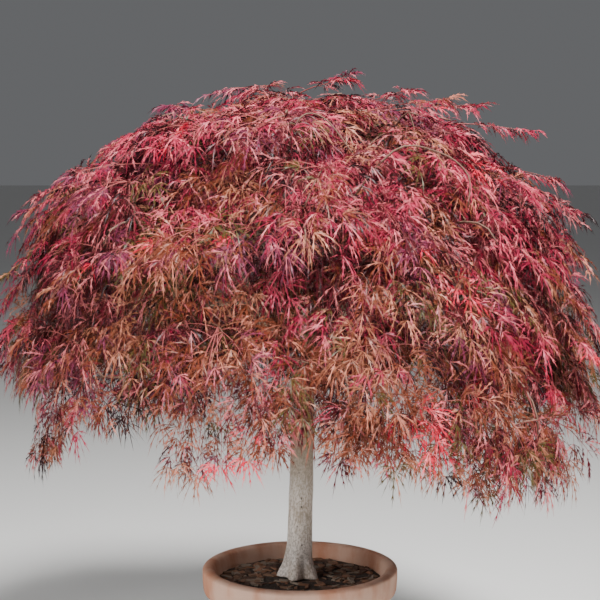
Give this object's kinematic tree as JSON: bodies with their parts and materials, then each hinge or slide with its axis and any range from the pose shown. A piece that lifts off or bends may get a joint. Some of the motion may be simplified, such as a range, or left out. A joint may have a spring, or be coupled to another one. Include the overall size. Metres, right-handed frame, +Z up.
{
  "type": "potted weeping japanese maple",
  "caption": "Weeping laceleaf maple on a clear stem, with a dome of finely cut red foliage that hangs to a skirt, in a plain round clay pot of soil.",
  "frame": {"origin": "centre of the pot's flat underside", "axes": "+Z up along the stem, -Y towards the side that the picture shows, +X to that side's right"},
  "size_m": [1.4463, 1.4509, 1.5946],
  "materials": {
    "terracotta": "matte fired clay",
    "soil": "moist crumbly soil",
    "bark": "smooth grey-beige bark",
    "foliage": "matte crimson leaves on thin twigs"
  },
  "bodies": {
    "root": {"bough_middle_1": "bark", "bough_middle_2": "bark", "bough_middle_3": "bark", "bough_middle_4": "bark", "bough_middle_5": "bark", "bough_middle_6": "bark", "bough_middle_7": "bark", "bough_middle_8": "bark", "bough_middle_9": "bark", "bough_skirt_1": "bark", "bough_skirt_2": "bark", "bough_skirt_3": "bark", "bough_skirt_4": "bark", "bough_skirt_5": "bark", "bough_skirt_6": "bark", "bough_skirt_7": "bark", "bough_skirt_8": "bark", "bough_skirt_9": "bark", "bough_tip": "bark", "bough_upper_1": "bark", "bough_upper_2": "bark", "bough_upper_3": "bark", "bough_upper_4": "bark", "bough_upper_5": "bark", "bough_upper_6": "bark", "bough_upper_7": "bark", "foliage_middle_1": "foliage", "foliage_middle_2": "foliage", "foliage_middle_3": "foliage", "foliage_middle_4": "foliage", "foliage_middle_5": "foliage", "foliage_middle_6": "foliage", "foliage_middle_7": "foliage", "foliage_middle_8": "foliage", "foliage_middle_9": "foliage", "foliage_skirt_1": "foliage", "foliage_skirt_2": "foliage", "foliage_skirt_3": "foliage", "foliage_skirt_4": "foliage", "foliage_skirt_5": "foliage", "foliage_skirt_6": "foliage", "foliage_skirt_7": "foliage", "foliage_skirt_8": "foliage", "foliage_skirt_9": "foliage", "foliage_tip": "foliage", "foliage_upper_1": "foliage", "foliage_upper_2": "foliage", "foliage_upper_3": "foliage", "foliage_upper_4": "foliage", "foliage_upper_5": "foliage", "foliage_upper_6": "foliage", "foliage_upper_7": "foliage", "pot": "terracotta", "soil": "soil", "stem": "bark"}
  },
  "joints": []
}
